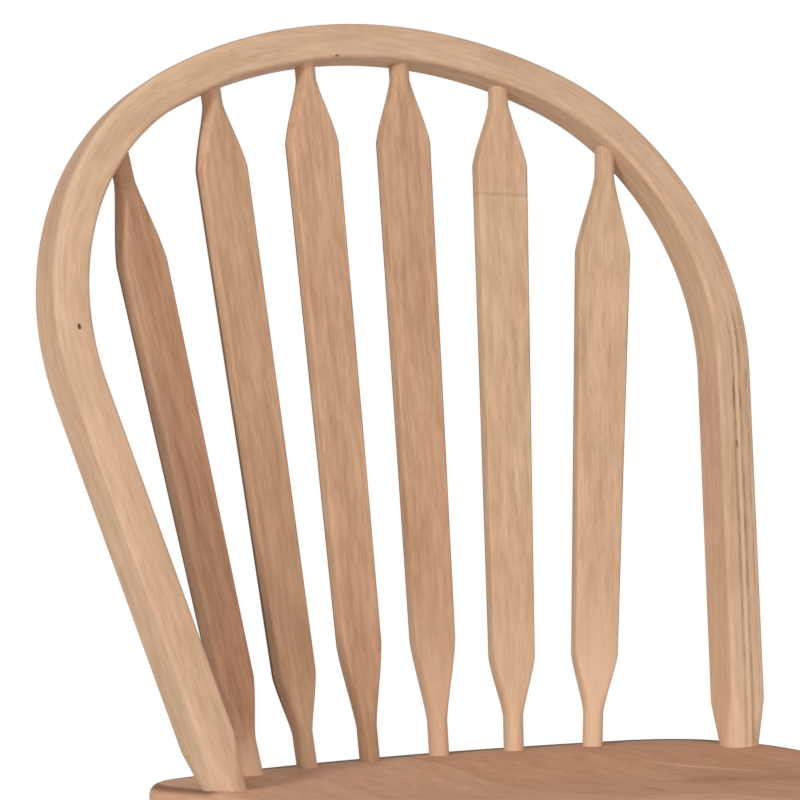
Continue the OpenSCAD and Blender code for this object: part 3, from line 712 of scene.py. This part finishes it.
def bare_wood(name, tan, seed, marks=None, calm=1.0, specular=0.25):
    """Bare sanded hardwood round one tan: soft mottling, faint long streaks and small flecks."""
    material, g = new_material(name)
    place = g.add("ShaderNodeAttribute", {"attribute_name": "grain"}, {}, out=1)
    across, through, along = g.split(place)
    drift = (stretched_noise(g, place, 14, 5.0, seed + 3) - 0.5) * 0.012
    fibre_place = g.join(across + drift + along * 0.02, through + drift * 0.7, along)
    clouds = stretched_noise(g, fibre_place, 80, 9.0, seed + 11)
    mottle = stretched_noise(g, fibre_place, 250, 36.0, seed + 19)
    streaks = stretched_noise(g, fibre_place, 560, 14.0, seed + 5)
    flecks = stretched_noise(g, fibre_place, 640, 110.0, seed + 7, rough=0.6)
    pore = g.smooth(stretched_noise(g, fibre_place, 1250, 105.0, seed + 17), 0.62, 0.72)
    shares = ((clouds, 0.28), (mottle, 0.34), (streaks, 0.18), (flecks, 0.20))
    tone = sum(g.smooth(noise, 0.3, 0.7) * share for noise, share in shares)
    pale, dark = [colour(*(c + step * calm for c in tan)) for step in (24, -26)]
    base = g.mix(tone, dark, pale)
    hue = g.smooth(stretched_noise(g, place, 105, 17.0, seed + 29), 0.36, 0.64)
    tint = g.mix(hue, (1.012, 0.986, 0.990, 1.0), (0.992, 1.003, 0.972, 1.0))
    base = g.mix(1.0, base, tint, "MULTIPLY")
    base = g.mix(pore * 0.22, base, tuple(c * 0.5 for c in dark[:3]) + (1.0,))
    if marks:
        base = marks(g, base, across, through, along)
    roughness = 0.60 + flecks * 0.12 - g.smooth(streaks, 0.3, 0.7) * 0.05 + pore * 0.10
    height = flecks * 0.6 + streaks * 0.3 - pore * 0.8
    finish_material(g, base, roughness, height, bump=0.3, distance=0.0003, specular=specular)
    return material


def bow_marks(g, base, across, through, along):
    """Dark lines down the front of the right leg, a pin knot on the left shoulder and small specks, with
    painted light and shade on the left shoulder and leg and painted light on the right foot.
    """
    from_right = BOW_LEN - along
    front = g.smooth(through, 0.0080, 0.0098)
    wobble = (stretched_noise(g, g.join(0.0, 0.0, along), 1, 26.0, 61) - 0.5) * 0.0012
    broken = g.smooth(stretched_noise(g, g.join(across, 0.0, along), 420, 60.0, 67, 3.0, 0.6), 0.34, 0.62)
    brown = colour(116, 70, 40)
    # place across at the deck, lean, half width, how dark, and the run above the deck in which it shows
    for start, lean, half_width, depth, low, high in (
            (-0.0028, 0.004, 0.0011, 0.57, -0.010, 0.290), (0.0021, 0.0033, 0.0011, 0.57, -0.010, 0.290),
            (0.0021, 0.0033, 0.0009, 0.80, -0.010, 0.075), (-0.0028, 0.004, 0.0008, 0.40, 0.180, 0.250),
            (0.0080, 0.0, 0.0006, 0.40, 0.020, 0.290), (-0.0080, 0.0, 0.0007, 0.35, 0.020, 0.085)):
        aside = g.math("ABSOLUTE", across - from_right * lean - start - wobble)
        line = g.smooth(aside, half_width * 1.7, half_width * 0.4)
        reach = g.smooth(from_right, low, low + 0.012) * g.smooth(from_right, high, high - 0.025)
        base = g.mix(line * reach * front * (broken * (1.3 - depth) + depth - 0.3) * depth, base, brown)
    # A pale line between the two dark ones, and painted light that makes the right foot paler, standing in
    # for light bounced up from the seat
    pale = g.smooth(g.math("ABSOLUTE", across - from_right * 0.004 + 0.0003), 0.0020, 0.0008)
    base = g.mix(pale * front * g.smooth(from_right, 0.34, 0.26) * 0.45, base, colour(232, 198, 162))
    base = g.mix(g.smooth(from_right, 0.15, 0.01) * 0.42, base, colour(236, 198, 165))
    # Painted shade on the outer side of the left shoulder and a painted highlight beside its arris
    outer = g.smooth(across, 0.0095, 0.0112) * g.smooth(along, 0.24, 0.36) * g.smooth(along, 0.74, 0.56)
    base = g.mix(outer * 0.30, base, colour(150, 108, 82))
    side, half_band = 0.0126, 0.0034
    highlight_beside_arris = g.smooth(g.math("ABSOLUTE", across - side + half_band) / half_band, 1.1, 0.5)
    shoulder_highlight = highlight_beside_arris * front * g.smooth(along, 0.24, 0.34) * g.smooth(along, 0.56, 0.40)
    base = g.mix(shoulder_highlight * 0.25, base, colour(238, 206, 174))
    # Painted shade on the front outer arris of the left leg, toning down its highlight
    arris = g.smooth(g.math("ABSOLUTE", across - 0.0113), 0.0022, 0.0008) * g.smooth(through, 0.0085, 0.0105)
    base = g.mix(arris * g.smooth(along, 0.34, 0.24) * 0.12, base, colour(168, 128, 98))
    # place across and along, half width, half length and how dark
    for at_across, at_along, wide, tall, depth in (
            (-0.002, 0.282, 0.0014, 0.0022, 0.95), (-0.0098, 0.596, 0.0006, 0.0018, 0.8),
            (-0.001, BOW_LEN - 0.192, 0.0009, 0.0030, 0.6)):
        reach = g.math("SQRT", ((across - at_across) / wide) ** 2.0 + ((along - at_along) / tall) ** 2.0)
        spot = g.smooth(reach, 1.25, 0.55) * g.smooth(through, 0.006, 0.008)
        base = g.mix(spot * depth, base, colour(84, 52, 30))
    return base


def seat_marks(g, base, across, through, along):
    """Painted shade along the rear rim, brown clouds of painted shade in the saddle, two pale marks and a
    short dark line on the boards.
    """
    x, y, z = g.split(g.vector("SUBTRACT", g.add("ShaderNodeTexCoord", {}, {}, out=3), DECK))
    rim = g.add("ShaderNodeAttribute", {"attribute_name": "rim"}, {}, out=2)
    # Painted shade along the rounded rear rim, widest at the left rear corner behind the bow's left foot,
    # where the edge turns away from the light
    patchy = stretched_noise(g, g.join(across, through, along), 60, 40.0, 71)
    narrower = g.smooth(y, 0.040, -0.010) * g.smooth(x, 0.0, 0.1) * 0.011
    reach = g.linear(x, -0.185, -0.120, 0.0080, 0.0220) - narrower
    far_side = g.math("MAXIMUM", g.smooth(y, -0.020, 0.0), g.smooth(x, 0.10, 0.16))
    wear_and_shade = g.smooth(rim + (patchy - 0.5) * 0.005, reach, reach * 0.5) * far_side
    wear_and_shade = wear_and_shade * g.smooth(z, -0.0050, -0.0010)
    base = g.mix(wear_and_shade * g.linear(x, -0.185, -0.120, 0.75, 0.85), base, colour(92, 58, 38))
    # The first two rows, the brown clouds, are painted shade in the saddle
    # place, lean, half width, half length, how strong, tone
    for at_x, at_y, lean, wide, tall, depth, tone in (
            (0.098, -0.090, 0.0, 0.020, 0.026, 0.30, colour(136, 94, 68)),
            (0.126, -0.118, 0.0, 0.016, 0.024, 0.22, colour(136, 94, 68)),
            (0.130, -0.042, -0.41, 0.0032, 0.046, 0.50, colour(232, 190, 158)),
            (0.066, -0.071, 0.0, 0.0040, 0.018, 0.30, colour(206, 166, 128)),
            (0.045, -0.102, 0.22, 0.0020, 0.020, 0.50, colour(120, 80, 56))):
        off_x, off_y = x - at_x - (y - at_y) * lean, y - at_y
        away = g.math("SQRT", (off_x / wide) ** 2.0 + (off_y / tall) ** 2.0)
        base = g.mix(g.smooth(away, 1.3, 0.4) * depth, base, tone)
    return base


def spindle_marks(shades, edge_shade_reach, side_light_share=0.0):
    """Paler and darker runs up a spindle, some of them painted light and painted shade, painted light on its
    left side, and painted shade down both edges of its paddle.
    """
    def marks(g, base, across, through, along):
        form = g.add("ShaderNodeAttribute", {"attribute_name": "form"}, {}, out=1)
        share, behind, height = g.split(form)
        # Painted light on the left side of the paddle, where the bow's left leg shades it
        base = g.mix(g.smooth(share, -0.45, -0.90) * side_light_share, base, PAINTED_LIGHT_TAN)
        for middle, reach, soft, strength, tone in shades:
            away = g.math("ABSOLUTE", height - middle)
            base = g.mix(g.smooth(away, reach, reach * (1 - soft)) * strength, base, tone)
        # Painted shade down both edges of the paddle, where its rims turn away from the light
        left = g.smooth(share, -0.93, -0.985) * g.smooth(behind, edge_shade_reach, edge_shade_reach + 0.5)
        right = g.smooth(share, 0.895, 0.940) * 0.5
        return g.mix((left + right) * 0.8, base, colour(88, 58, 38))
    return marks


def nylon(name):
    material, g = new_material(name)
    place = g.add("ShaderNodeTexCoord", {}, {}, out=3)
    grain = g.add("ShaderNodeTexNoise", {}, {"Vector": place, "Scale": 900.0, "Detail": 3.0})
    scuffs = g.add("ShaderNodeTexNoise", {}, {"Vector": place, "Scale": 140.0, "Detail": 4.0})
    z = g.split(place)[2]
    wear_and_shade = g.smooth(z, 0.0022, 0.0) * g.smooth(scuffs, 0.4, 0.7)
    base = g.mix(wear_and_shade * 0.7, colour(222, 218, 206), colour(150, 142, 128))
    roughness = 0.38 + grain * 0.12 + wear_and_shade * 0.25
    finish_material(g, base, roughness, grain + scuffs * 0.5, bump=0.15, distance=0.0001, specular=0.5)
    return material


def zinc_steel(name):
    material, g = new_material(name)
    place = g.add("ShaderNodeTexCoord", {}, {}, out=3)
    bloom = g.add("ShaderNodeTexNoise", {}, {"Vector": place, "Scale": 650.0, "Detail": 4.0})
    spangle = g.add("ShaderNodeTexVoronoi", {}, {"Vector": place, "Scale": 900.0}, out=0)
    base = g.mix(g.smooth(bloom, 0.35, 0.7), colour(188, 189, 186), colour(142, 143, 142))
    roughness = 0.30 + bloom * 0.2 + spangle * 0.05
    finish_material(g, base, roughness, bloom, bump=0.1, distance=0.00005, metallic=1.0)
    return material


# The whole chair

bow_wood = bare_wood("bow_wood", (209, 172, 141), 1, bow_marks, calm=0.65)
seat_woods = [bare_wood(f"seat_wood_{i + 1}", tan, 20 + i, seat_marks, calm=0.5, specular=0.05)
              for i, tan in enumerate(((213, 167, 135), (210, 164, 132), (203, 155, 122), (199, 151, 118)))]
# Each spindle's tan, its runs up the spindle (height, reach, softness, strength, tone), how far the painted
# shade on its left edge reaches and how much painted light its left side gets. The pale runs at the feet are
# painted light bounced from the seat and the brown runs low on the second and third spindles are painted
# shade; the runs on the fifth spindle are its own redder tone and a grain line.
spindle_looks = (
    ((186, 140, 109), ((0.0, 0.040, 0.8, 0.65, PAINTED_LIGHT_TAN),), 0.35, 0.18),
    ((200, 158, 126), ((0.135, 0.100, 0.6, 0.20, PAINTED_SHADE_BROWN), (0.0, 0.060, 0.8, 0.35, PAINTED_LIGHT_TAN)), 0.05, 0.0),
    ((202, 160, 128), ((0.02, 0.09, 0.8, 0.20, PAINTED_SHADE_BROWN),), 0.35, 0.0),
    ((197, 155, 123), ((0.0, 0.13, 0.8, 0.50, PAINTED_LIGHT_TAN),), 0.35, 0.0),
    ((208, 172, 138), ((0.0, 0.13, 0.8, 0.40, PAINTED_LIGHT_TAN), (0.4165, 0.070, 0.10, 0.14, colour(170, 108, 84)),
     (0.3465, 0.0017, 0.9, 0.26, colour(150, 98, 72))), 0.35, 0.0),
    ((206, 169, 138), ((0.0, 0.13, 0.8, 0.75, PAINTED_LIGHT_TAN),), 0.35, 0.0))
spindle_woods = [bare_wood(f"spindle_wood_{i + 1}", tan, 3 + i, spindle_marks(*marks), calm=0.85)
                 for i, (tan, *marks) in enumerate(spindle_looks)]
leg_wood = bare_wood("leg_wood", (196, 156, 124), 9)
glide_nylon = nylon("glide_nylon")
steel = zinc_steel("steel")

make_bow(bow_wood)
make_seat(seat_woods)
make_spindles(spindle_woods)
make_legs(leg_wood)

steel_nodes = ("spindle_brads", "bow_screws")
for name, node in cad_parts.items():
    if name in steel_nodes or name.endswith("_glide"):
        node.data.materials.clear()
        node.data.materials.append(steel if name in steel_nodes else glide_nylon)


# Floor, light and camera

def seen_rays(g):
    """1 where the camera sees a surface, straight or through a gloss or a glass, and 0 for other light."""
    rays = g.tree.nodes.new("ShaderNodeLightPath")
    kinds = [Wire(g, rays.outputs[f"Is {kind} Ray"]) for kind in ("Camera", "Glossy", "Transmission")]
    return g.math("MAXIMUM", g.math("MAXIMUM", kinds[0], kinds[1]), kinds[2])


def make_floor():
    """A pale floor that keeps the chair's shadow and goes white away from it."""
    reach = 30.0
    corners = [(x * reach, y * reach, 0) for x, y in ((-1, -1), (1, -1), (1, 1), (-1, 1))]
    mesh = mesh_from("floor", corners, [(0, 1, 2, 3)])
    material, g = new_material("floor_paint")
    place = g.add("ShaderNodeTexCoord", {}, {}, out=3)
    distance = g.add("ShaderNodeVectorMath", {"operation": "LENGTH"}, {0: place}, out=1)
    paint = g.add("ShaderNodeBsdfDiffuse", {}, {"Color": (0.86, 0.86, 0.86, 1)})
    white = g.add("ShaderNodeEmission", {}, {"Color": (1, 1, 1, 1), "Strength": 1.0})
    blend = g.smooth(distance, 0.9, 2.6) * seen_rays(g)
    mixed = g.add("ShaderNodeMixShader", {}, {0: blend, 1: paint, 2: white})
    g.end("ShaderNodeOutputMaterial", "Surface", mixed)
    mesh.materials.append(material)
    link("floor", mesh)


def make_world(front, back, way):
    """Light that is strongest from the way the camera stands; the backdrop itself is white."""
    world = bpy.data.worlds.new("studio")
    world.use_nodes = True
    world.node_tree.nodes.clear()
    g = Graph(world.node_tree)
    direction = g.add("ShaderNodeTexCoord", {}, {}, out=0)
    facing = g.add("ShaderNodeVectorMath", {"operation": "DOT_PRODUCT"}, {0: direction, 1: way}, out=1)
    soft = g.add("ShaderNodeBackground", {}, {"Color": (1, 1, 1, 1),
                                              "Strength": g.smooth(facing, -0.7, 0.9, back, front)})
    white = g.add("ShaderNodeBackground", {}, {"Color": (1, 1, 1, 1), "Strength": 1.0})
    mixed = g.add("ShaderNodeMixShader", {}, {0: seen_rays(g), 1: soft, 2: white})
    g.end("ShaderNodeOutputWorld", "Surface", mixed)
    bpy.context.scene.world = world


def lamp(name, azimuth, elevation, distance, size, power):
    """A square soft box aimed at the chair's back; azimuth 0 is in front of it, and 90 on its left side."""
    target = Vector((0, 0.08, 0.62))
    a, e = math.radians(azimuth), math.radians(elevation)
    way = Vector((-math.sin(a) * math.cos(e), -math.cos(a) * math.cos(e), math.sin(e)))
    light = bpy.data.lights.new(name, "AREA")
    light.shape, light.size, light.energy = "SQUARE", size, power
    item = bpy.data.objects.new(name, light)
    bpy.context.scene.collection.objects.link(item)
    item.location = target + way * distance
    item.rotation_euler = (-way).to_track_quat("-Z", "Y").to_euler()


def make_camera():
    """The camera of the photograph: where it stood, how it was turned and how far it was zoomed in."""
    place = Vector((-1.8052, -2.5111, 0.7067))
    azimuth, elevation, roll = math.radians(-34), math.radians(0.6668), math.radians(-1.7869)
    ahead = -Vector((math.sin(azimuth) * math.cos(elevation), -math.cos(azimuth) * math.cos(elevation),
                     math.sin(elevation)))
    level = Vector((math.cos(azimuth), math.sin(azimuth), 0))
    upright = level.cross(ahead)
    right = level * math.cos(roll) + upright * math.sin(roll)
    up = upright * math.cos(roll) - level * math.sin(roll)
    turn = Matrix((right, up, -ahead)).transposed().to_4x4()
    camera = bpy.data.cameras.new("photo_camera")
    camera.sensor_width = 36.0
    camera.lens = 238.17
    camera.clip_end = 100.0
    item = bpy.data.objects.new("photo_camera", camera)
    item.matrix_world = Matrix.Translation(place) @ turn
    bpy.context.scene.collection.objects.link(item)
    bpy.context.scene.camera = item


make_floor()
make_world(0.60, 0.22, Vector((-0.60, -0.79, -0.15)))
lamp("key", 69, 25, 2.6, 0.35, 29)
lamp("front_fill", -3, 2, 3.0, 1.1, 25)
make_camera()
bpy.context.scene.view_settings.view_transform = "Standard"
